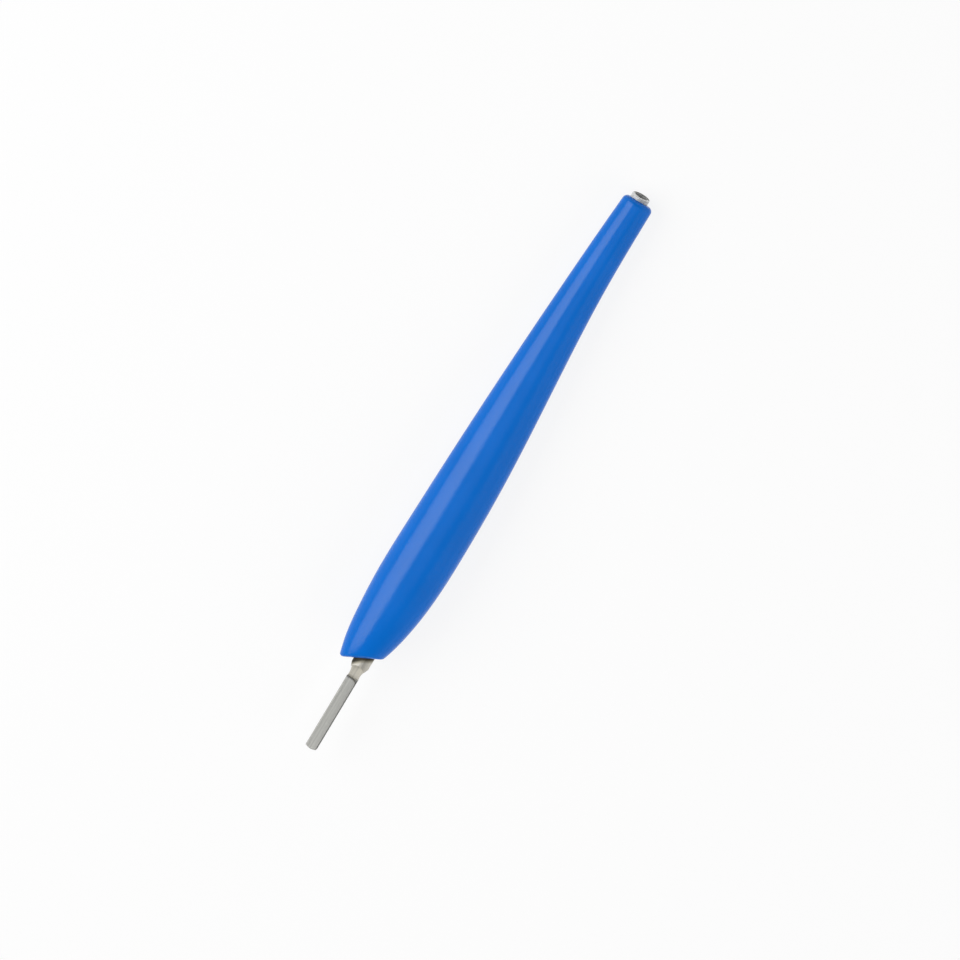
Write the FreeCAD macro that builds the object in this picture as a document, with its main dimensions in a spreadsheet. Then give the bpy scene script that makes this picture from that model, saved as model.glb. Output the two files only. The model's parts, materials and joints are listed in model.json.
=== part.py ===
import FreeCAD, Part
import math
import os
import re
import Sketcher

# Scalpel handle: a round steel core whose front end is milled into the fitting for a
# detachable blade, inside one moulded grip. Lengths are millimetres, angles are degrees.
#
# Both pieces are drawn in one design frame: x runs along the core's axis from the tip of
# the blade fitting to the tail, y points to the dorsal side, away from the blade's cutting
# edge, and z points up from the flat of the blade. At the end both are laid down together
# on the side that they rest on, with +X pointing out of the blade fitting and +Y to the
# belly side.

SIZES = [
    ("core_diameter", 4.5, "round steel core"),
    ("core_length", 158.5, "tip of the blade fitting to the tail end of the core"),
    ("stub_length", 1.5, "bare core behind the grip"),
    ("bare_front", 26.2, "tip of the blade fitting to the grip's nose, on the axis"),
    ("recess_diameter", 3.3, "blind hole in the tail end of the core"),
    ("recess_depth", 6.0, "straight part of that hole"),
    ("recess_point", 1.0, "drill point below the straight part"),
    ("recess_chamfer", 0.12, "chamfer at the mouth of that hole"),
    ("tail_edge_round", 0.2, "rounded outer edge of the core's tail end"),
    ("tongue_width", 2.86, "width of the tongue that carries the blade"),
    ("tongue_below", 1.05, "core axis to the tongue's underside"),
    ("seat_height", 0.1, "core axis to the seat under the blade"),
    ("boss_height", 1.05, "seat to the top of the boss"),
    ("boss_length", 20.2, "tip to the heel end of the boss"),
    ("boss_chamfer", 0.16, "chamfer round the top of the boss"),
    ("heel_round", 1.3, "rounded belly corner at the boss's heel end"),
    ("slot_height", 0.5, "side grooves that hold the blade"),
    ("slot_depth", 0.33, "depth of each side groove"),
    ("heel_groove_width", 0.5, "relief groove behind the boss"),
    ("heel_groove_depth", 0.25, "relief groove below the seat"),
    ("tip_radius", 2.7, "curved end of the tongue's tip, seen from above"),
    ("tip_round", 0.3, "rounded corners beside it"),
    ("waist_width", 2.68, "narrowest place, just behind the boss"),
    ("waist_gap", 0.6, "heel end of the boss to the waist"),
    ("flare_length", 3.2, "waist to the full round core"),
    ("seat_length", 3.9, "heel end of the boss to the end wall of the seat"),
    ("seat_half_width", 1.9, "half width of the milled seat, the radius of its end wall"),
    ("seat_foot_round", 0.3, "fillet at the foot of the seat's end wall"),
    ("underside_flat", 1.4, "tongue's flat underside behind the boss"),
    ("underside_radius", 4.0, "cutter radius where the underside runs out"),
    ("nose_angle", 27.8, "slant of the grip's nose"),
    ("nose_bulge", 9.5, "radius of the nose face seen from the side"),
    ("nose_allowance", 4.2, "length of skin ahead of the nose that the slant cuts away"),
    ("nose_round", 0.6, "rounded rim of the nose"),
    ("tail_round", 1.3, "rounded rim of the grip's tail"),
    ("bore_clearance", 0.03, "radial room round the core in the grip"),
    ("mouth_chamfer", 0.3, "chamfer at the mouth in the grip's nose"),
]

# The grip's sections: where each lies as a share of the skin's length, how far the skin
# stands from the core's axis on the dorsal and on the belly side, and half its thickness.
SECTIONS = [
    ("front", 0.0, 5.09, 1.45, 3.15),
    ("nose", 0.0443, 6.57, 3.97, 4.95),
    ("throat", 0.1035, 7.56, 6.06, 6.25),
    ("shoulder", 0.1774, 8.13, 7.35, 6.95),
    ("bulge", 0.2809, 8.02, 7.77, 7.05),
    ("palm", 0.4287, 7.50, 7.41, 6.35),
    ("flank", 0.5765, 6.79, 6.23, 5.65),
    ("taper", 0.7095, 5.98, 4.96, 5.03),
    ("wrist", 0.8130, 5.24, 4.22, 4.55),
    ("neck", 0.9165, 4.42, 3.98, 4.13),
    ("tail", 1.0, 3.64, 4.02, 3.78),
]

STEEL_DENSITY = 7.9
SILICONE_DENSITY = 1.15
SAME_PLACE = 0.001
FINE_FACETS = 0.01
EDGE_SAMPLES = 5

for name, share, dorsal, belly, depth in SECTIONS:
    SIZES.append((name + "_share", share, name + " section: place along the skin"))
    SIZES.append((name + "_dorsal", dorsal, name + " section: axis to the dorsal side"))
    SIZES.append((name + "_belly", belly, name + " section: axis to the belly side"))
    SIZES.append((name + "_depth", depth, name + " section: half thickness"))
ALIASES = {alias for alias, _, _ in SIZES}

doc = FreeCAD.newDocument("scalpel_handle")
sheet = doc.addObject("Spreadsheet::Sheet", "Sizes")
for row, (alias, number, meaning) in enumerate(SIZES, start=1):
    sheet.set("A%d" % row, meaning)
    sheet.set("B%d" % row, str(number))
    sheet.setAlias("B%d" % row, alias)
doc.recompute()


def cells(formula):
    """The formula with each size's name pointed at its cell."""
    return re.sub(r"[a-z_]+", lambda word: "Sizes." + word.group()
                  if word.group() in ALIASES else word.group(), formula)


def value(formula):
    """The formula's number for the sizes in the sheet."""
    return float(sheet.evalExpression(cells(formula)))


def plane(body, role):
    """One of the body's own origin planes."""
    return next(item for item in body.Origin.OriginFeatures if item.Role == role)


def new_sketch(body, name, role, lift=None):
    """A sketch on an origin plane, moved along the plane's normal by the lift formula."""
    sketch = body.newObject("Sketcher::SketchObject", name)
    sketch.AttachmentSupport = [(plane(body, role), "")]
    sketch.MapMode = "FlatFace"
    if lift:
        sketch.setExpression("AttachmentOffset.Base.z", cells(lift))
    return sketch


def pin(sketch, geometry, vertex, across, up):
    """Hold a sketch point at its two coordinates."""
    for kind, axis, formula in (("DistanceX", -2, across), ("DistanceY", -1, up)):
        if formula == "0":
            sketch.addConstraint(Sketcher.Constraint("PointOnObject", geometry, vertex, axis))
            continue
        index = sketch.addConstraint(
            Sketcher.Constraint(kind, -1, 1, geometry, vertex, value(formula)))
        sketch.setExpression("Constraints[%d]" % index, cells(formula))


def arc_between(start, end, radius, side):
    """The short arc from start to end with its centre on the left or right of the chord."""
    chord = end - start
    middle = (start + end) * 0.5
    left = FreeCAD.Vector(-chord.y, chord.x, 0).normalize()
    reach = math.sqrt(max(radius ** 2 - (chord.Length / 2) ** 2, 0.0))
    centre = middle + left * (reach if side == "left" else -reach)
    first, last = (start, end) if side == "left" else (end, start)
    angles = [math.atan2(p.y - centre.y, p.x - centre.x) for p in (first, last)]
    circle = Part.Circle(centre, FreeCAD.Vector(0, 0, 1), radius)
    return Part.ArcOfCircle(circle, angles[0], angles[1])


def draw_outline(sketch, corners):
    """Add a closed outline: each corner is (x, y), or (x, y, radius, side) where an arc
    leaves it for the next corner."""
    points = [FreeCAD.Vector(value(c[0]), value(c[1]), 0) for c in corners]
    ends = []
    for i, corner in enumerate(corners):
        start, end = points[i], points[(i + 1) % len(points)]
        if len(corner) == 2:
            geometry = sketch.addGeometry(Part.LineSegment(start, end), False)
            ends.append((geometry, 1, 2))
            continue
        radius, side = corner[2:]
        geometry = sketch.addGeometry(arc_between(start, end, value(radius), side), False)
        ends.append((geometry, 1, 2) if side == "left" else (geometry, 2, 1))
        index = sketch.addConstraint(Sketcher.Constraint("Radius", geometry, value(radius)))
        sketch.setExpression("Constraints[%d]" % index, cells(radius))
    for i, (geometry, start_vertex, end_vertex) in enumerate(ends):
        follower, follower_vertex, _ = ends[(i + 1) % len(ends)]
        sketch.addConstraint(Sketcher.Constraint(
            "Coincident", geometry, end_vertex, follower, follower_vertex))
        pin(sketch, geometry, start_vertex, *corners[i][:2])


def draw_circle(sketch, radius):
    """Add a circle round the sketch's origin."""
    circle = Part.Circle(FreeCAD.Vector(0, 0, 0), FreeCAD.Vector(0, 0, 1), value(radius))
    geometry = sketch.addGeometry(circle, False)
    sketch.addConstraint(Sketcher.Constraint("Coincident", geometry, 3, -1, 1))
    index = sketch.addConstraint(Sketcher.Constraint("Radius", geometry, value(radius)))
    sketch.setExpression("Constraints[%d]" % index, cells(radius))


def cut(body, name, sketch, way="up", length=None):
    """A pocket that goes up, down or both ways along the sketch's normal."""
    before = body.Shape.Volume
    pocket = body.newObject("PartDesign::Pocket", name)
    pocket.Profile = sketch
    pocket.Type = "Length" if length else "ThroughAll"
    pocket.SideType = "Symmetric" if way == "both" else "One side"
    pocket.Reversed = way == "up"
    if length:
        pocket.setExpression("Length", cells(length))
    doc.recompute()
    if not body.Shape.Volume < before:
        raise ValueError(name + " cuts nothing")
    return pocket


def edges_where(shape, test):
    """Names of the edges whose points all pass the test."""
    names = []
    for number, edge in enumerate(shape.Edges, start=1):
        if not edge.Degenerated and all(test(point) for point in edge.discretize(EDGE_SAMPLES)):
            names.append("Edge%d" % number)
    return names


def dress(body, kind, name, size, test):
    """A fillet or chamfer of the given size on the edges that pass the test."""
    base = body.Tip
    edges = edges_where(base.Shape, test)
    if not edges:
        raise ValueError(name + " finds no edge")
    feature = body.newObject("PartDesign::" + kind, name)
    feature.Base = (base, edges)
    feature.setExpression("Radius" if kind == "Fillet" else "Size", cells(size))
    doc.recompute()
    return feature


def near(a, b):
    """Whether two lengths are the same."""
    return abs(a - b) < SAME_PLACE


def steel_core():
    """The round core, milled at the front and drilled at the tail."""
    body = doc.addObject("PartDesign::Body", "steel_core")
    bar = new_sketch(body, "bar_section", "YZ_Plane")
    draw_circle(bar, "core_diameter / 2")
    pad = body.newObject("PartDesign::Pad", "bar")
    pad.Profile = bar
    pad.setExpression("Length", cells("core_length"))
    doc.recompute()

    mill_plan(body)
    mill_underside(body)
    mill_top(body)
    mill_seat(body)
    mill_slots(body)
    round_fitting(body)
    drill_tail(body)
    return body


PAST_TIP = "-core_diameter"
BESIDE_BAR = "core_diameter"
WAIST = "boss_length + waist_gap"
FLARE_END = "boss_length + waist_gap + flare_length"
FLARE_RISE = "(core_diameter - waist_width) / 2"
TIP_SETBACK = "(tip_radius - sqrt(tip_radius ^ 2 - (tongue_width / 2) ^ 2))"


def mill_plan(body):
    """The tongue, waist and flare as seen from above, milled from both sides, and the
    curved tip."""
    sketch = new_sketch(body, "plan_outline", "XY_Plane")
    flare_radius = "(flare_length ^ 2 + (%s) ^ 2) / (2 * (%s))" % (FLARE_RISE, FLARE_RISE)
    for sign, flare_side in (("", "left"), ("-", "right")):
        draw_outline(sketch, [
            (PAST_TIP, sign + "tongue_width / 2"),
            ("boss_length", sign + "tongue_width / 2"),
            (WAIST, sign + "waist_width / 2", flare_radius, flare_side),
            (FLARE_END, sign + "core_diameter / 2"),
            (FLARE_END, sign + BESIDE_BAR),
            (PAST_TIP, sign + BESIDE_BAR),
        ])
    cut(body, "plan_milling", sketch, "both")

    tip = new_sketch(body, "tip_outline", "XY_Plane")
    draw_outline(tip, [
        (TIP_SETBACK, "-tongue_width / 2", "tip_radius", "right"),
        (TIP_SETBACK, "tongue_width / 2"),
        (TIP_SETBACK, BESIDE_BAR),
        (PAST_TIP, BESIDE_BAR),
        (PAST_TIP, "-" + BESIDE_BAR),
        (TIP_SETBACK, "-" + BESIDE_BAR),
    ])
    cut(body, "tip_milling", tip, "both")
    setback = value(TIP_SETBACK)
    side = value("tongue_width / 2")
    dress(body, "Fillet", "tip_corners", "tip_round",
          lambda p: near(p.x, setback) and near(abs(p.y), side))


def mill_underside(body):
    """The tongue's flat underside and its run-out into the round core."""
    sketch = new_sketch(body, "underside_outline", "XZ_Plane")
    drop = "(core_diameter / 2 - tongue_below)"
    runout = "sqrt(2 * underside_radius * %s - %s ^ 2)" % (drop, drop)
    draw_outline(sketch, [
        (PAST_TIP, "-tongue_below"),
        ("boss_length + underside_flat", "-tongue_below", "underside_radius", "right"),
        ("boss_length + underside_flat + " + runout, "-core_diameter / 2"),
        ("boss_length + underside_flat + " + runout, "-" + BESIDE_BAR),
        (PAST_TIP, "-" + BESIDE_BAR),
    ])
    cut(body, "underside_milling", sketch, "both")


SEAT_SIDE = "boss_length + seat_length - seat_half_width"
SEAT_END = "boss_length + seat_length"


def mill_top(body):
    """The top of the boss, milled with the round-ended cutter that makes the seat."""
    sketch = new_sketch(body, "boss_top_outline", "XY_Plane", "seat_height + boss_height")
    draw_outline(sketch, [
        (PAST_TIP, "-seat_half_width"),
        (SEAT_SIDE, "-seat_half_width", "seat_half_width", "left"),
        (SEAT_END, "0", "seat_half_width", "left"),
        (SEAT_SIDE, "seat_half_width"),
        (PAST_TIP, "seat_half_width"),
    ])
    cut(body, "boss_top", sketch, "up")


HEEL_CENTRE = "boss_length - heel_round"
HEEL_INNER_Y = "heel_round - tongue_width / 2"


def mill_seat(body):
    """The seat for the blade's heel behind the boss, whose belly corner is rounded, and the
    relief groove at the boss's foot."""
    seat = new_sketch(body, "seat_outline", "XY_Plane", "seat_height")
    draw_outline(seat, [
        ("boss_length", "seat_half_width"),
        (SEAT_SIDE, "seat_half_width", "seat_half_width", "right"),
        (SEAT_END, "0", "seat_half_width", "right"),
        (SEAT_SIDE, "-seat_half_width"),
        (HEEL_CENTRE, "-seat_half_width"),
        (HEEL_CENTRE, "-tongue_width / 2", "heel_round", "left"),
        ("boss_length", HEEL_INNER_Y),
    ])
    cut(body, "heel_seat", seat, "up")

    relief = new_sketch(body, "relief_outline", "XY_Plane", "seat_height - heel_groove_depth")
    outer = "heel_round + heel_groove_width"
    draw_outline(relief, [
        ("boss_length", "seat_half_width"),
        ("boss_length + heel_groove_width", "seat_half_width"),
        ("boss_length + heel_groove_width", HEEL_INNER_Y, outer, "right"),
        (HEEL_CENTRE, "-tongue_width / 2 - heel_groove_width"),
        (HEEL_CENTRE, "-tongue_width / 2", "heel_round", "left"),
        ("boss_length", HEEL_INNER_Y),
    ])
    cut(body, "heel_relief", relief, "up", "heel_groove_depth + slot_height")


def mill_slots(body):
    """The two side grooves under the boss's rim, which take the edges of the blade's slot."""
    sketch = new_sketch(body, "slot_outline", "YZ_Plane")
    for sign in ("", "-"):
        draw_outline(sketch, [
            (sign + "(tongue_width / 2 - slot_depth)", "seat_height"),
            (sign + BESIDE_BAR, "seat_height"),
            (sign + BESIDE_BAR, "seat_height + slot_height"),
            (sign + "(tongue_width / 2 - slot_depth)", "seat_height + slot_height"),
        ])
    cut(body, "blade_slots", sketch, "up", "boss_length")


def round_fitting(body):
    """Soft edges of the blade fitting."""
    boss_top = value("seat_height + boss_height")
    seat = value("seat_height")
    heel = value("boss_length")
    seat_side = value(SEAT_SIDE)
    dress(body, "Chamfer", "boss_rim", "boss_chamfer",
          lambda p: near(p.z, boss_top) and p.x < heel + SAME_PLACE)
    dress(body, "Fillet", "seat_foot", "seat_foot_round",
          lambda p: near(p.z, seat) and p.x > seat_side
          and near(math.hypot(p.x - seat_side, p.y), value("seat_half_width")))


def drill_tail(body):
    """The blind hole in the tail end and the rounded edge round it."""
    sketch = new_sketch(body, "recess_outline", "XZ_Plane")
    draw_outline(sketch, [
        ("core_length - recess_depth - recess_point", "0"),
        ("core_length + core_diameter", "0"),
        ("core_length + core_diameter", "recess_diameter / 2 + recess_chamfer"),
        ("core_length", "recess_diameter / 2 + recess_chamfer"),
        ("core_length - recess_chamfer", "recess_diameter / 2"),
        ("core_length - recess_depth", "recess_diameter / 2"),
    ])
    before = body.Shape.Volume
    groove = body.newObject("PartDesign::Groove", "tail_recess")
    groove.Profile = sketch
    groove.ReferenceAxis = (sketch, ["H_Axis"])
    groove.Angle = 360
    doc.recompute()
    if not body.Shape.Volume < before:
        raise ValueError("the tail recess cuts nothing")
    radius = value("core_diameter / 2")
    tail = value("core_length")
    dress(body, "Fillet", "tail_edge", "tail_edge_round",
          lambda p: near(p.x, tail) and near(math.hypot(p.y, p.z), radius))


SKIN_FRONT = "bare_front - nose_allowance"
SKIN_LENGTH = "core_length - stub_length - bare_front + nose_allowance"


def skin_section(body, name):
    """One oval section of the grip, level with the blade and off the core's axis."""
    place = "%s + %s_share * (%s)" % (SKIN_FRONT, name, SKIN_LENGTH)
    sketch = new_sketch(body, name + "_section", "YZ_Plane", place)
    dorsal, belly, depth = [value(name + part) for part in ("_dorsal", "_belly", "_depth")]
    centre = FreeCAD.Vector((dorsal - belly) / 2, 0, 0)
    across = FreeCAD.Vector((dorsal + belly) / 2, 0, 0)
    up = FreeCAD.Vector(0, depth, 0)
    level = across.Length >= up.Length
    first, second = (across, up) if level else (up, across)
    sketch.addGeometry(Part.Ellipse(centre + first, centre + second, centre), False)
    sketch.exposeInternalGeometry(0)
    width_axis, depth_axis = (1, 2) if level else (2, 1)
    sketch.addConstraint(Sketcher.Constraint("Horizontal", width_axis))
    sketch.addConstraint(Sketcher.Constraint("PointOnObject", 0, 3, -1))
    ends = sorted((1, 2), key=lambda vertex: sketch.getPoint(width_axis, vertex).x)
    for vertex, formula in zip(ends, ("-%s_belly" % name, "%s_dorsal" % name)):
        index = sketch.addConstraint(Sketcher.Constraint(
            "DistanceX", -1, 1, width_axis, vertex, value(formula)))
        sketch.setExpression("Constraints[%d]" % index, cells(formula))
    index = sketch.addConstraint(Sketcher.Constraint("Distance", depth_axis, 2 * depth))
    sketch.setExpression("Constraints[%d]" % index, cells("2 * %s_depth" % name))
    return sketch


def grip_cover():
    """The moulded grip: a lofted skin with a slanted nose, a rounded tail and the bore."""
    body = doc.addObject("PartDesign::Body", "grip_cover")
    sections = [skin_section(body, section[0]) for section in SECTIONS]
    doc.recompute()
    skin = body.newObject("PartDesign::AdditiveLoft", "skin")
    skin.Profile = sections[0]
    skin.Sections = sections[1:]
    doc.recompute()

    face_nose(body)
    tail = value("core_length - stub_length")
    dress(body, "Fillet", "tail_rim", "tail_round", lambda p: near(p.x, tail))

    bore = new_sketch(body, "bore_section", "YZ_Plane")
    draw_circle(bore, "core_diameter / 2 + bore_clearance")
    cut(body, "bore", bore, "up")
    bore_radius = value("core_diameter / 2 + bore_clearance")
    dress(body, "Chamfer", "nose_mouth", "mouth_chamfer",
          lambda p: near(math.hypot(p.y, p.z), bore_radius) and not near(p.x, tail))
    return body


def face_nose(body):
    """The slanted nose face, which bulges forward seen from the side, and its soft rim."""
    sketch = new_sketch(body, "nose_outline", "XZ_Plane")
    sketch.AttachmentOffset = FreeCAD.Placement(
        FreeCAD.Vector(), FreeCAD.Rotation(FreeCAD.Vector(0, 1, 0), 1))
    sketch.setExpression("AttachmentOffset.Base.x", cells("bare_front"))
    sketch.setExpression("AttachmentOffset.Rotation.Angle", cells("nose_angle"))
    doc.recompute()
    ahead = "-(nose_allowance + core_diameter)"
    draw_outline(sketch, [
        ("nose_bulge", "-nose_bulge", "nose_bulge", "right"),
        ("0", "0", "nose_bulge", "right"),
        ("nose_bulge", "nose_bulge"),
        (ahead, "nose_bulge"),
        (ahead, "-nose_bulge"),
    ])
    cut(body, "nose_face", sketch, "both")
    slant = math.radians(value("nose_angle"))
    bulge = value("nose_bulge")
    front = value("bare_front")
    dress(body, "Fillet", "nose_rim", "nose_round", lambda p: near(bulge, math.hypot(
        (p.x - front) * math.cos(slant) + p.y * math.sin(slant) - bulge, p.z)))


def lower_hull(points):
    """The underside of the points' outline, from left to right."""
    hull = []
    for point in sorted(points):
        while len(hull) > 1 and ((hull[-1][0] - hull[-2][0]) * (point[1] - hull[-2][1])
                                 <= (hull[-1][1] - hull[-2][1]) * (point[0] - hull[-2][0])):
            hull.pop()
        hull.append(point)
    return hull


def resting_place(shapes, densities):
    """The placement that lays the handle on its side: it stands on the bulge and on the
    tail, which lie on either side of its centre of mass."""
    masses = [shape.Volume * density for shape, density in zip(shapes, densities)]
    centre = sum(shape.CenterOfGravity.x * mass
                 for shape, mass in zip(shapes, masses)) / sum(masses)
    points = {(p.x, p.z) for shape in shapes for p in shape.tessellate(FINE_FACETS)[0]}
    hull = lower_hull(points)
    first, last = next((a, b) for a, b in zip(hull, hull[1:]) if a[0] <= centre <= b[0])
    tilt = math.degrees(math.atan2(last[1] - first[1], last[0] - first[0]))
    print("stands at x", first, last, "centre of mass at x", centre, "tilt", tilt)

    turn = FreeCAD.Rotation(FreeCAD.Vector(0, 0, 1), 180).multiply(
        FreeCAD.Rotation(FreeCAD.Vector(0, 1, 0), tilt))
    box = FreeCAD.BoundBox()
    for shape in shapes:
        turned = shape.copy()
        turned.Placement = FreeCAD.Placement(FreeCAD.Vector(), turn)
        box.add(turned.optimalBoundingBox(False, False))
    return FreeCAD.Placement(FreeCAD.Vector(-box.Center.x, -box.Center.y, -box.ZMin), turn)


core = steel_core()
grip = grip_cover()
pieces = [core, grip]
lying = resting_place([piece.Shape for piece in pieces], [STEEL_DENSITY, SILICONE_DENSITY])
for piece in pieces:
    piece.Placement = lying

doc.recompute()
for item in doc.Objects:
    if "Invalid" in item.State or "Error" in item.State:
        raise ValueError("%s has failed: %s" % (item.Label, item.State))
for piece in pieces:
    if piece.Shape.isNull() or not piece.Shape.isValid():
        raise ValueError(piece.Label + " has no valid shape")
    print(piece.Label, "volume", round(piece.Shape.Volume, 2),
          "solids", len(piece.Shape.Solids), "faces", len(piece.Shape.Faces))

os.makedirs("parts", exist_ok=True)
for piece in pieces:
    piece.Shape.exportStep("parts/%s.step" % piece.Label)
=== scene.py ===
import json
import math

import bmesh
import bpy
from mathutils import Matrix, Vector


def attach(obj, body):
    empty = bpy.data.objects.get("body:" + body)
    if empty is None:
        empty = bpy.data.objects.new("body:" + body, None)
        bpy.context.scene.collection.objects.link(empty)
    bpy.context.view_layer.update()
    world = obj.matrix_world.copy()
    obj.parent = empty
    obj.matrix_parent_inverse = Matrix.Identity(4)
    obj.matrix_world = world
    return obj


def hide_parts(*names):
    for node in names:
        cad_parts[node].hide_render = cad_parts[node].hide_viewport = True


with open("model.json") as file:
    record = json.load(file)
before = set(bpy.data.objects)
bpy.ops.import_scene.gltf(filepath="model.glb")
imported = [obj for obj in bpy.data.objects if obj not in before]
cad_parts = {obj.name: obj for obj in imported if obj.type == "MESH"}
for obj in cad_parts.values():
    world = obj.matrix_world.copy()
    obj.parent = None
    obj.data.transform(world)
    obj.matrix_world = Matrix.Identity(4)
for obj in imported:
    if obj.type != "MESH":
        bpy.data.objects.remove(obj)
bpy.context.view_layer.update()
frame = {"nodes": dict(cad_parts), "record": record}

# Scalpel handle: a milled steel core in a moulded silicone grip, lying on a pale floor.
# Lengths along and across the handle are millimetres, measured from the tip of the blade
# fitting on the core's axis. World lengths are metres.

MM = 0.001

# The core's axis and tip, taken from the blade fitting's mount: its axis points out of the
# tip, and its place is on the seat, a little above the core's axis.
SEAT_HEIGHT = 0.1
mount = next(m for m in frame["record"]["mounts"] if m["name"] == "blade_fitting")
FORWARD = Vector(mount["axis"]).normalized()
BELLY = Vector((0.0, 1.0, 0.0))
UP = FORWARD.cross(BELLY)
TIP = Vector(mount["pos_m"]) - UP * SEAT_HEIGHT * MM

# The steel core and the boss of its blade fitting.
CORE_LENGTH = 158.5
STUB_LENGTH = 1.5
BOSS_LENGTH = 20.2
BOSS_HEIGHT = 1.05
BOSS_CHAMFER = 0.16
TONGUE_WIDTH = 2.86

# The grip. Its nose face slants and bulges by an arc, and its tail face leans. TAIL_SHIFT is
# how far the middle of the tail face lies behind the rear of the skin.
BARE_FRONT = 26.2
BORE_RADIUS = 2.28
MOUTH_CHAMFER = 0.3
NOSE_ANGLE = math.radians(27.8)
NOSE_BULGE = 9.5
NOSE_ALLOWANCE = 4.2
NOSE_ROUND = 0.6
TAIL_ROUND = 1.3
TAIL_SLANT = math.radians(11.0)
TAIL_SHIFT = 0.16

# The grip's sections: share of the skin's length, the skin's distance from the core's axis
# on the dorsal side and on the belly side, and half its thickness.
SECTIONS = [
    (0.0, 5.09, 1.45, 3.15),
    (0.0443, 6.57, 3.97, 4.95),
    (0.1035, 7.56, 6.06, 6.25),
    (0.1774, 8.13, 7.35, 6.95),
    (0.2809, 8.02, 7.77, 7.05),
    (0.4287, 7.50, 7.41, 6.35),
    (0.5765, 6.79, 6.23, 5.65),
    (0.7095, 5.98, 4.96, 5.03),
    (0.8130, 5.24, 4.22, 4.55),
    (0.9165, 4.42, 3.98, 4.13),
    (1.0, 3.64, 4.02, 3.78),
]

SKIN_FRONT = BARE_FRONT - NOSE_ALLOWANCE
SKIN_REAR = CORE_LENGTH - STUB_LENGTH
SKIN_LENGTH = SKIN_REAR - SKIN_FRONT

# The grip's mesh: profiles around it, rings along its skin, its arcs and its end faces, and
# the angle from which an edge is sharp. NOSE_TRIES closes in on the nose's corner.
GRIP_TURNS = 128
GRIP_RINGS = 260
ARC_STEPS = 8
FACE_RINGS = 6
TAIL_RINGS = 2
SHARP_EDGE = math.radians(35.0)
NOSE_TRIES = 30


def place(along, belly, up):
    """A point of the handle in the world: millimetres from the tip, to the belly and up."""
    return TIP + (BELLY * belly + UP * up - FORWARD * along) * MM


def smooth_curve(knots, values):
    """The natural cubic spline through the values at the knots."""
    count = len(knots)
    bends = [0.0] * count
    passed = [0.0] * count
    for i in range(1, count - 1):
        before, after = knots[i] - knots[i - 1], knots[i + 1] - knots[i]
        share = before / (before + after)
        weight = share * bends[i - 1] + 2
        bends[i] = (share - 1) / weight
        change = (values[i + 1] - values[i]) / after - (values[i] - values[i - 1]) / before
        passed[i] = (6 * change / (before + after) - share * passed[i - 1]) / weight
    second = [0.0] * count
    for i in range(count - 2, -1, -1):
        second[i] = bends[i] * second[i + 1] + passed[i]

    def curve(at):
        i = max(0, min(count - 2, sum(1 for knot in knots if knot <= at) - 1))
        step = knots[i + 1] - knots[i]
        a, b = (knots[i + 1] - at) / step, (at - knots[i]) / step
        bend = (a ** 3 - a) * second[i] + (b ** 3 - b) * second[i + 1]
        return a * values[i] + b * values[i + 1] + bend * step ** 2 / 6

    return curve


shares = [section[0] for section in SECTIONS]
dorsal_at, belly_at, depth_at = [
    smooth_curve(shares, [section[k] for section in SECTIONS]) for k in (1, 2, 3)]


def skin_point(along, turn):
    """The skin at that length and turn, as belly and up: turn 0 is the belly side."""
    share = (along - SKIN_FRONT) / SKIN_LENGTH
    dorsal, belly, depth = dorsal_at(share), belly_at(share), depth_at(share)
    return ((belly - dorsal) / 2 + (belly + dorsal) / 2 * math.cos(turn),
            depth * math.sin(turn))


def nose_along(belly, up):
    """Where the slanted, bulging nose face lies at that place across the handle."""
    swell = NOSE_BULGE - math.sqrt(NOSE_BULGE ** 2 - up ** 2)
    return BARE_FRONT + (swell + belly * math.sin(NOSE_ANGLE)) / math.cos(NOSE_ANGLE)


def tail_along(up):
    """Where the tail's end face lies at that height: its upper side reaches further back."""
    return SKIN_REAR + TAIL_SHIFT + up * math.tan(TAIL_SLANT)


def rounded(before, corner, after, radius):
    """Points of the arc of that radius that rounds the corner between two points."""
    a, b = (before - corner).normalized(), (after - corner).normalized()
    opening = a.angle(b)
    reach = radius / math.tan(opening / 2)
    centre = corner + (a + b).normalized() * radius / math.sin(opening / 2)
    start, end = corner + a * reach - centre, corner + b * reach - centre
    sweep = start.angle(end)
    return [centre + (start * math.sin((1 - k / ARC_STEPS) * sweep)
                      + end * math.sin(k / ARC_STEPS * sweep)) / math.sin(sweep)
            for k in range(ARC_STEPS + 1)]


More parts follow.
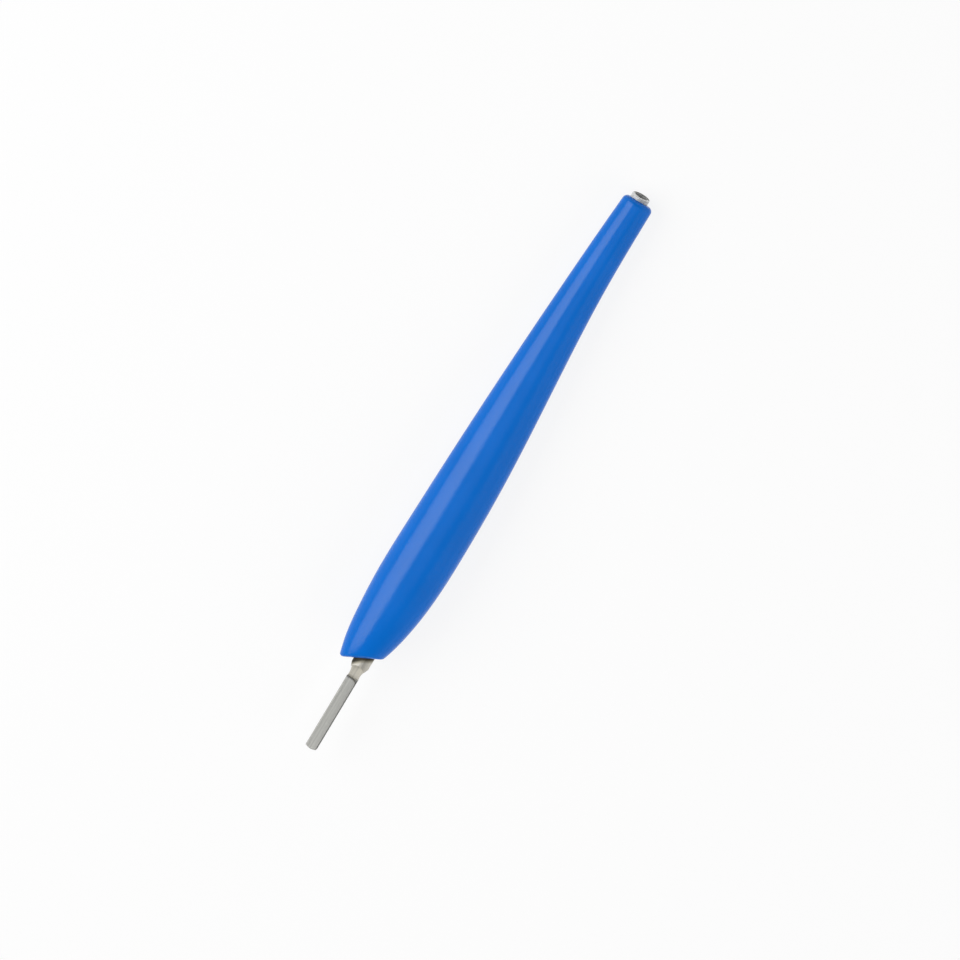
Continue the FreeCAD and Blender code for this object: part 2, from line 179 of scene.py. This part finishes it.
def grip_profile(turn):
    """The closed profile of the grip at one turn, from the bore at the nose over the skin
    to the bore at the tail, as vectors (along, belly, up)."""
    bore = Vector((0.0, BORE_RADIUS * math.cos(turn), BORE_RADIUS * math.sin(turn)))
    mouth = bore * (BORE_RADIUS + MOUTH_CHAMFER) / BORE_RADIUS
    nose_mouth = Vector((nose_along(mouth.y, mouth.z), mouth.y, mouth.z))
    nose_bore = Vector((nose_along(bore.y, bore.z) + MOUTH_CHAMFER, bore.y, bore.z))
    tail_mouth = Vector((tail_along(bore.z), bore.y, bore.z))

    front = BARE_FRONT
    for _ in range(NOSE_TRIES):
        front = nose_along(*skin_point(front, turn))
    nose_corner = Vector((front, *skin_point(front, turn)))
    behind = front + NOSE_ROUND
    skin_behind = Vector((behind, *skin_point(behind, turn)))
    inward = nose_corner.lerp(nose_mouth, NOSE_ROUND / (nose_mouth - nose_corner).length)
    inward.x = nose_along(inward.y, inward.z)
    nose_arc = rounded(inward, nose_corner, skin_behind, NOSE_ROUND)

    rear = tail_along(skin_point(SKIN_REAR, turn)[1])
    tail_corner = Vector((rear, *skin_point(rear, turn)))
    ahead = rear - TAIL_ROUND
    skin_ahead = Vector((ahead, *skin_point(ahead, turn)))
    tail_arc = rounded(skin_ahead, tail_corner, tail_mouth, TAIL_ROUND)

    points = [nose_bore]
    for k in range(FACE_RINGS):
        point = nose_mouth.lerp(nose_arc[0], k / FACE_RINGS)
        point.x = nose_along(point.y, point.z)
        points.append(point)
    points += nose_arc
    first, last = nose_arc[-1].x, tail_arc[0].x
    for k in range(1, GRIP_RINGS):
        along = first + (last - first) * k / GRIP_RINGS
        points.append(Vector((along, *skin_point(along, turn))))
    points += tail_arc
    points += [tail_arc[-1].lerp(tail_mouth, k / TAIL_RINGS) for k in range(1, TAIL_RINGS + 1)]
    return points


def finish_piece(mesh):
    """Put a mesh in the scene as a piece of the handle, with its faces turned outwards."""
    form = bmesh.new()
    form.from_mesh(mesh)
    bmesh.ops.recalc_face_normals(form, faces=form.faces)
    form.to_mesh(mesh)
    form.free()
    piece = bpy.data.objects.new(mesh.name, mesh)
    bpy.context.scene.collection.objects.link(piece)
    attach(piece, "root")
    return piece


def make_grip():
    """The silicone grip as one fine closed skin of rings."""
    mesh = bpy.data.meshes.new("silicone_grip")
    profiles = [grip_profile(2 * math.pi * i / GRIP_TURNS) for i in range(GRIP_TURNS)]
    rings = len(profiles[0])
    points = [place(*point) for profile in profiles for point in profile]
    faces = []
    for i in range(GRIP_TURNS):
        here, there = i * rings, (i + 1) % GRIP_TURNS * rings
        for j in range(rings):
            after = (j + 1) % rings
            faces.append((here + j, there + j, there + after, here + after))
    mesh.from_pydata(points, [], faces)
    mesh.shade_smooth()
    mesh.set_sharp_from_angle(angle=SHARP_EDGE)
    return finish_piece(mesh)


class Nodes:
    """Short calls for building one node material."""

    def __init__(self, name):
        self.material = bpy.data.materials.new(name)
        self.material.use_nodes = True
        self.tree = self.material.node_tree
        self.tree.nodes.clear()

    def feed(self, socket, value):
        """Link another node's output to the socket, or set the socket's own value."""
        if isinstance(value, bpy.types.NodeSocket):
            self.tree.links.new(value, socket)
        else:
            socket.default_value = value

    def add(self, kind, **inputs):
        """A node of that kind. Inputs go by name, with _ for a space."""
        node = self.tree.nodes.new("ShaderNode" + kind)
        for name, value in inputs.items():
            self.feed(node.inputs[name.replace("_", " ")], value)
        return node

    def maths(self, operation, a, b):
        """The result of one sum, product or comparison."""
        node = self.add("Math")
        node.operation = operation
        self.feed(node.inputs[0], a)
        self.feed(node.inputs[1], b)
        return node.outputs[0]

    def ramp(self, factor, stops):
        """The colour that the stops, pairs of position and colour, give for the factor."""
        node = self.add("ValToRGB", Fac=factor)
        while len(node.color_ramp.elements) < len(stops):
            node.color_ramp.elements.new(1.0)
        for element, (position, colour) in zip(node.color_ramp.elements, stops):
            element.position = position
            element.color = (*colour, 1.0)
        return node.outputs[0]

    def mixed(self, blend, factor, a, b):
        """Two colours blended by the factor."""
        node = self.add("Mix")
        node.data_type = "RGBA"
        node.blend_type = blend
        sockets = [s for s in node.inputs if s.enabled]
        for socket, value in zip(sockets, (factor, a, b)):
            self.feed(socket, (*value, 1.0) if isinstance(value, tuple) else value)
        return next(s for s in node.outputs if s.enabled)

    def either(self, switch, off, on):
        """The first colour where the switch is 0, and the second where it is 1."""
        return self.mixed("MIX", switch, off, on)

    def times(self, a, b):
        """One colour multiplied by another."""
        return self.mixed("MULTIPLY", 1.0, a, b)

    def shaded(self, colour, switch, shade):
        """The colour, multiplied by the shade where the switch is 1."""
        return self.times(colour, self.either(switch, UNSHADED, shade))

    def along_handle(self, scale):
        """Coordinates in metres, turned to the core's axis and then scaled."""
        source = self.add("TexCoord")
        turn = self.add("VectorRotate", Vector=source.outputs["Object"], Center=TIP,
                        Angle=math.atan2(FORWARD.z, FORWARD.x))
        turn.rotation_type = "Y_AXIS"
        return self.add("Mapping", Vector=turn.outputs[0], Scale=scale).outputs[0]

    def millimetres(self):
        """The place on the handle: millimetres from the tip, to the belly and up."""
        from_tip = self.add("VectorMath")
        from_tip.operation = "SUBTRACT"
        self.feed(from_tip.inputs[0], self.along_handle((-1 / MM, 1 / MM, 1 / MM)))
        self.feed(from_tip.inputs[1], Vector((-TIP.x, TIP.y, TIP.z)) / MM)
        return self.add("SeparateXYZ", Vector=from_tip.outputs[0]).outputs[:]

    def finished(self, shader):
        """The material with that shader as its surface."""
        output = self.add("OutputMaterial")
        self.feed(output.inputs[0], shader.outputs[0])
        return self.material


EVEN = (1.0, 1.0, 1.0)
UNSHADED = (1.0, 1.0, 1.0)
RELIEF = 0.02 * MM

# The silicone: colours between which it clouds, its roughness and how much that clouds. Its
# specular level is LEVEL_AHEAD seen straight on and falls to LEVEL_LEAST towards the edge.
SILICONE_CLOUDS = [(0.3, (0.0004, 0.146, 0.60)), (0.7, (0.0006, 0.156, 0.64))]
SILICONE_ROUGHNESS = 0.20
SILICONE_CLOUDING = 0.05
SILICONE_IOR = 1.43
LEVEL_AHEAD = 0.62
LEVEL_FALL = 1.2
LEVEL_LEAST = 0.13


def silicone():
    """Blue satin silicone: a very fine matt skin with slightly uneven gloss."""
    make = Nodes("silicone_blue")
    where = make.along_handle(EVEN)
    cloud = make.add("TexNoise", Vector=where, Scale=90.0, Detail=3.0, Roughness=0.5)
    cloud = cloud.outputs["Fac"]
    grain = make.add("TexNoise", Vector=where, Scale=9000.0, Detail=2.0, Roughness=0.6)
    bump = make.add("Bump", Height=grain.outputs["Fac"], Strength=0.12, Distance=RELIEF)
    gloss = make.maths("MULTIPLY", cloud, SILICONE_CLOUDING)
    gloss = make.maths("ADD", gloss, SILICONE_ROUGHNESS)
    edgewise = make.add("LayerWeight", Blend=0.5).outputs["Facing"]
    level = make.maths("ADD", make.maths("MULTIPLY", edgewise, -LEVEL_FALL), LEVEL_AHEAD)
    level = make.maths("MAXIMUM", level, LEVEL_LEAST)
    return make.finished(make.add(
        "BsdfPrincipled", Base_Color=make.ramp(cloud, SILICONE_CLOUDS), Roughness=gloss,
        IOR=SILICONE_IOR, Specular_IOR_Level=level, Normal=bump.outputs[0]))


# The steel: its colours, the range of its fine lines and what the fine grain adds to them,
# and its roughness. The neck's colour begins at once behind the boss.
TONGUE_COLOUR = (0.64, 0.64, 0.605)
NECK_COLOUR = (0.71, 0.68, 0.60)
TAIL_COLOUR = (0.66, 0.665, 0.66)
NECK_BLEND = 0.1
LINE_SHADES = [(0.3, (0.84,) * 3), (0.7, (1.14,) * 3)]
GRAIN_SHARE = 0.35
STEEL_METALLIC = 0.65
STEEL_ROUGHNESS = 0.46
STEEL_CLOUDING = 0.12
NECK_ROUGHER = 0.12
NECK_START = BOSS_LENGTH + 0.15

# The painted shadow that the grip's nose casts on the steel in front of it: how far it reaches
# on the steel, how much further for each millimetre on the dorsal side, and its colours from
# the nose outwards.
NOSE_SHADOW_REACH = 1.5
NOSE_SHADOW_DORSAL = 0.45
NOSE_SHADOW_SHADES = [
    (0.0, (0.10, 0.09, 0.07)),
    (0.25, (0.12, 0.11, 0.085)),
    (0.5, (0.42, 0.40, 0.34)),
    (0.72, (0.72, 0.70, 0.64)),
    (1.0, UNSHADED),
]

# Painted shade along the boss's edges, standing in for the dark reflections they catch, of
# which the dorsal one is narrower, and painted shade on its walls.
EDGE_SHADE_WIDTH = 0.24
EDGE_DORSAL_LESS = 0.1
EDGE_PAINTED_SHADES = [(0.0, UNSHADED), (0.45, (0.5,) * 3), (1.0, (0.42,) * 3)]
WALL_PAINTED_SHADE = (0.4, 0.38, 0.34)

# Painted shade and painted light on the tail's end face: painted shade on its lower side, and
# over one millimetre around the axis it turns to painted light. TAIL_FADE_LOW is where that
# begins, below the axis.
TAIL_FACE_DEPTH = 0.08
TAIL_FADE_LOW = 0.5
TAIL_FACE_PAINTED_SHADING = [(0.0, (0.3, 0.29, 0.26)), (1.0, (1.3,) * 3)]


def painted_nose_shadow(make, along, belly, up):
    """Painted shadow of the grip's nose on the steel in front of its nose face."""
    swell = make.maths("DIVIDE", make.maths("MULTIPLY", up, up), 2 * NOSE_BULGE)
    lean = make.maths("MULTIPLY", belly, math.sin(NOSE_ANGLE))
    nose = make.maths("DIVIDE", make.maths("ADD", swell, lean), math.cos(NOSE_ANGLE))
    ahead = make.maths("ADD", make.maths("SUBTRACT", nose, along), BARE_FRONT)
    wider = make.maths("MULTIPLY", make.maths("MINIMUM", belly, 0.0), NOSE_SHADOW_DORSAL)
    return make.ramp(make.maths("DIVIDE", make.maths("ADD", ahead, wider), NOSE_SHADOW_REACH),
                     NOSE_SHADOW_SHADES)


def painted_edge_shade(make, belly):
    """Painted shade along the two long edges of the boss's top, standing in for their dark
    reflections.
    """
    dorsal = make.maths("SUBTRACT", -EDGE_DORSAL_LESS, belly)
    outward = make.maths("MAXIMUM", belly, dorsal)
    inside = make.maths("SUBTRACT", outward, TONGUE_WIDTH / 2 - EDGE_SHADE_WIDTH)
    return make.ramp(make.maths("DIVIDE", inside, EDGE_SHADE_WIDTH), EDGE_PAINTED_SHADES)


def wall_switch(make, up, on_tongue):
    """1 on the walls of the boss, between its seat and its rim, where painted shade goes."""
    below_rim = make.maths("LESS_THAN", up, SEAT_HEIGHT + BOSS_HEIGHT - BOSS_CHAMFER)
    above_seat = make.maths("GREATER_THAN", up, SEAT_HEIGHT)
    return make.maths("MULTIPLY", make.maths("MULTIPLY", below_rim, above_seat), on_tongue)


def steel():
    """Satin steel with a grain along the handle. The neck is lighter and warmer than the
    tongue. A painted shadow darkens the steel in front of the grip's nose, painted shade lies
    along the boss's edges and on its walls, and painted shade and light lie on the tail's end
    face."""
    make = Nodes("brushed_steel")
    grain = make.add("TexNoise", Vector=make.along_handle((60.0, 9000.0, 9000.0)), Scale=1.0,
                     Detail=4.0, Roughness=0.65).outputs["Fac"]
    streaks = make.add("TexNoise", Vector=make.along_handle((40.0, 1900.0, 1900.0)),
                       Scale=1.0, Detail=1.0).outputs["Fac"]
    cloud = make.add("TexNoise", Vector=make.along_handle(EVEN), Scale=400.0,
                     Detail=3.0).outputs["Fac"]
    along, belly, up = make.millimetres()
    in_front = make.maths("LESS_THAN", along, CORE_LENGTH / 2)
    on_neck = make.maths("GREATER_THAN", along, NECK_START)
    on_tongue = make.maths("SUBTRACT", 1.0, on_neck)
    on_tail_face = make.maths("GREATER_THAN", along, CORE_LENGTH - TAIL_FACE_DEPTH)

    front = make.ramp(make.maths("SUBTRACT", along, BOSS_LENGTH),
                      [(0.0, TONGUE_COLOUR), (NECK_BLEND, NECK_COLOUR)])
    colour = make.either(in_front, TAIL_COLOUR, front)
    lines = make.maths("ADD", make.maths("MULTIPLY", grain, GRAIN_SHARE),
                       make.maths("MULTIPLY", streaks, 1 - GRAIN_SHARE))
    colour = make.times(colour, make.ramp(lines, LINE_SHADES))
    # Painted shadow of the grip's nose on the steel in front of it.
    colour = make.shaded(colour, in_front, painted_nose_shadow(make, along, belly, up))
    # Painted shade along the boss's edges, standing in for dark reflections.
    colour = make.shaded(colour, on_tongue, painted_edge_shade(make, belly))
    # Painted shade on the boss's walls, where shade falls in the grooves.
    colour = make.shaded(colour, wall_switch(make, up, on_tongue), WALL_PAINTED_SHADE)
    # Painted shade on the lower side of the tail's end face, painted light on its upper side.
    painted_tail_shading = make.ramp(make.maths("ADD", up, TAIL_FADE_LOW), TAIL_FACE_PAINTED_SHADING)
    colour = make.shaded(colour, on_tail_face, painted_tail_shading)

    gloss = make.maths("ADD", make.maths("MULTIPLY", cloud, STEEL_CLOUDING), STEEL_ROUGHNESS)
    gloss = make.maths("ADD", gloss, make.maths("MULTIPLY", on_neck, NECK_ROUGHER))
    bump = make.add("Bump", Height=grain, Strength=0.25, Distance=RELIEF)
    return make.finished(make.add("BsdfPrincipled", Base_Color=colour, Roughness=gloss,
                                  Metallic=STEEL_METALLIC, Normal=bump.outputs[0]))


# The floor: how wide it is, how pale it is to light, and how white it looks.
FLOOR_SIZE = 6.0
FLOOR_PALE = 0.9
FLOOR_WHITE = 0.85


def floor_material():
    """Pale matt floor that turns nearly white in the picture and in reflections, and still
    shows the handle's shadow."""
    make = Nodes("pale_floor")
    paths = make.add("LightPath").outputs
    seen = make.maths("MAXIMUM", paths["Is Camera Ray"], paths["Is Glossy Ray"])
    seen = make.maths("MAXIMUM", seen, paths["Is Transmission Ray"])
    matt = make.add("BsdfDiffuse", Color=(FLOOR_PALE, FLOOR_PALE, FLOOR_PALE, 1.0))
    white = make.add("Emission", Strength=1.0)
    both = make.add("MixShader", Fac=make.maths("MULTIPLY", seen, FLOOR_WHITE))
    make.feed(both.inputs[1], matt.outputs[0])
    make.feed(both.inputs[2], white.outputs[0])
    return make.finished(both)


def make_floor():
    """The floor that the handle lies on."""
    half = FLOOR_SIZE / 2
    mesh = bpy.data.meshes.new("floor")
    mesh.from_pydata([(-half, -half, 0), (half, -half, 0), (half, half, 0), (-half, half, 0)],
                     [], [(0, 1, 2, 3)])
    floor = bpy.data.objects.new("floor", mesh)
    bpy.context.scene.collection.objects.link(floor)
    floor.data.materials.append(floor_material())


# The camera looks down on the handle, tilted towards its tail and a little to its belly. It
# aims at a place on the handle, and HANDLE_IN_IMAGE is the way to the tail in the picture.
CAMERA_TO_TAIL = math.radians(16.0)
CAMERA_TO_BELLY = math.radians(3.0)
CAMERA_DISTANCE = 4.0
CAMERA_CLIP = 20.0
CENTRE_ALONG = 78.49
CENTRE_BELLY = 1.78
SENSOR = 36.0
IMAGE_SIZE = 960
FOCAL_PIXELS = 16877
HANDLE_IN_IMAGE = Vector((0.5147, 0.8573))


def make_camera():
    """The camera at the photograph's viewing angle."""
    over = BELLY * math.sin(CAMERA_TO_BELLY) + UP * math.cos(CAMERA_TO_BELLY)
    towards = over * math.cos(CAMERA_TO_TAIL) - FORWARD * math.sin(CAMERA_TO_TAIL)
    towards.normalize()
    rearward = (-FORWARD + towards * FORWARD.dot(towards)).normalized()
    bellyward = rearward.cross(towards)
    right = rearward * HANDLE_IN_IMAGE.x + bellyward * HANDLE_IN_IMAGE.y
    top = rearward * HANDLE_IN_IMAGE.y - bellyward * HANDLE_IN_IMAGE.x
    data = bpy.data.cameras.new("camera")
    data.sensor_width = SENSOR
    data.lens = FOCAL_PIXELS / IMAGE_SIZE * SENSOR
    data.clip_end = CAMERA_CLIP
    camera = bpy.data.objects.new("camera", data)
    bpy.context.scene.collection.objects.link(camera)
    turned = Matrix((right, top, towards)).transposed().to_4x4()
    spot = place(CENTRE_ALONG, CENTRE_BELLY, 0.0) + towards * CAMERA_DISTANCE
    camera.matrix_world = Matrix.Translation(spot) @ turned
    bpy.context.scene.camera = camera


# The soft boxes: the direction that each stands in, its distance and size in metres and its
# brightness. Only the key shines, the others leave no reflection.
KEY = {"direction": (0.12, -0.72, 0.69), "distance": 0.7, "size": (1.0, 0.62), "glow": 2.4}
TOP = {"direction": (0.0, 0.1, 1.0), "distance": 1.0, "size": (0.9, 0.6), "glow": 1.6}
FILL = {"direction": (0.0, 0.9, 0.5), "distance": 1.0, "size": (0.9, 0.6), "glow": 2.3}

# The room's brightness at the horizon and overhead, and the height where it has changed.
HORIZON_GLOW = 0.6
OVERHEAD_GLOW = 0.1
ROOM_BEND = 0.5


def soft_light(name, direction, distance, size, glow, shines):
    """A soft box of that brightness, which stands in that direction and faces the handle.
    One that doesn't shine lights the matt part of a surface and leaves no reflection."""
    data = bpy.data.lights.new(name, "AREA")
    data.shape = "RECTANGLE"
    data.size, data.size_y = size
    data.energy = glow * math.pi * size[0] * size[1]
    light = bpy.data.objects.new(name, data)
    bpy.context.scene.collection.objects.link(light)
    away = Vector(direction).normalized()
    light.location = away * distance
    light.rotation_euler = away.to_track_quat("Z", "Y").to_euler()
    light.visible_camera = False
    light.visible_glossy = shines


def make_lights():
    """Plain soft studio light: a large box on the dorsal side, fills from above and from the
    belly side, and a pale room that is brighter towards the horizon."""
    soft_light("key", **KEY, shines=True)
    soft_light("top", **TOP, shines=False)
    soft_light("fill", **FILL, shines=False)
    world = bpy.data.worlds.new("studio")
    bpy.context.scene.world = world
    world.use_nodes = True
    tree = world.node_tree
    tree.nodes.clear()
    output = tree.nodes.new("ShaderNodeOutputWorld")
    around = tree.nodes.new("ShaderNodeBackground")
    direction = tree.nodes.new("ShaderNodeTexCoord")
    parts = tree.nodes.new("ShaderNodeSeparateXYZ")
    height = tree.nodes.new("ShaderNodeMapRange")
    height.interpolation_type = "SMOOTHSTEP"
    height.inputs["From Max"].default_value = ROOM_BEND
    height.inputs["To Min"].default_value = HORIZON_GLOW
    height.inputs["To Max"].default_value = OVERHEAD_GLOW
    tree.links.new(direction.outputs["Generated"], parts.inputs[0])
    tree.links.new(parts.outputs["Z"], height.inputs["Value"])
    tree.links.new(height.outputs[0], around.inputs["Strength"])
    tree.links.new(around.outputs[0], output.inputs[0])


grip = make_grip()
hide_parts("grip_cover")
grip.data.materials.append(silicone())

core = frame["nodes"]["steel_core"]
steel_finish = steel()
for slot in core.material_slots:
    slot.material = steel_finish

make_floor()
make_camera()
make_lights()
bpy.context.scene.view_settings.view_transform = "Standard"
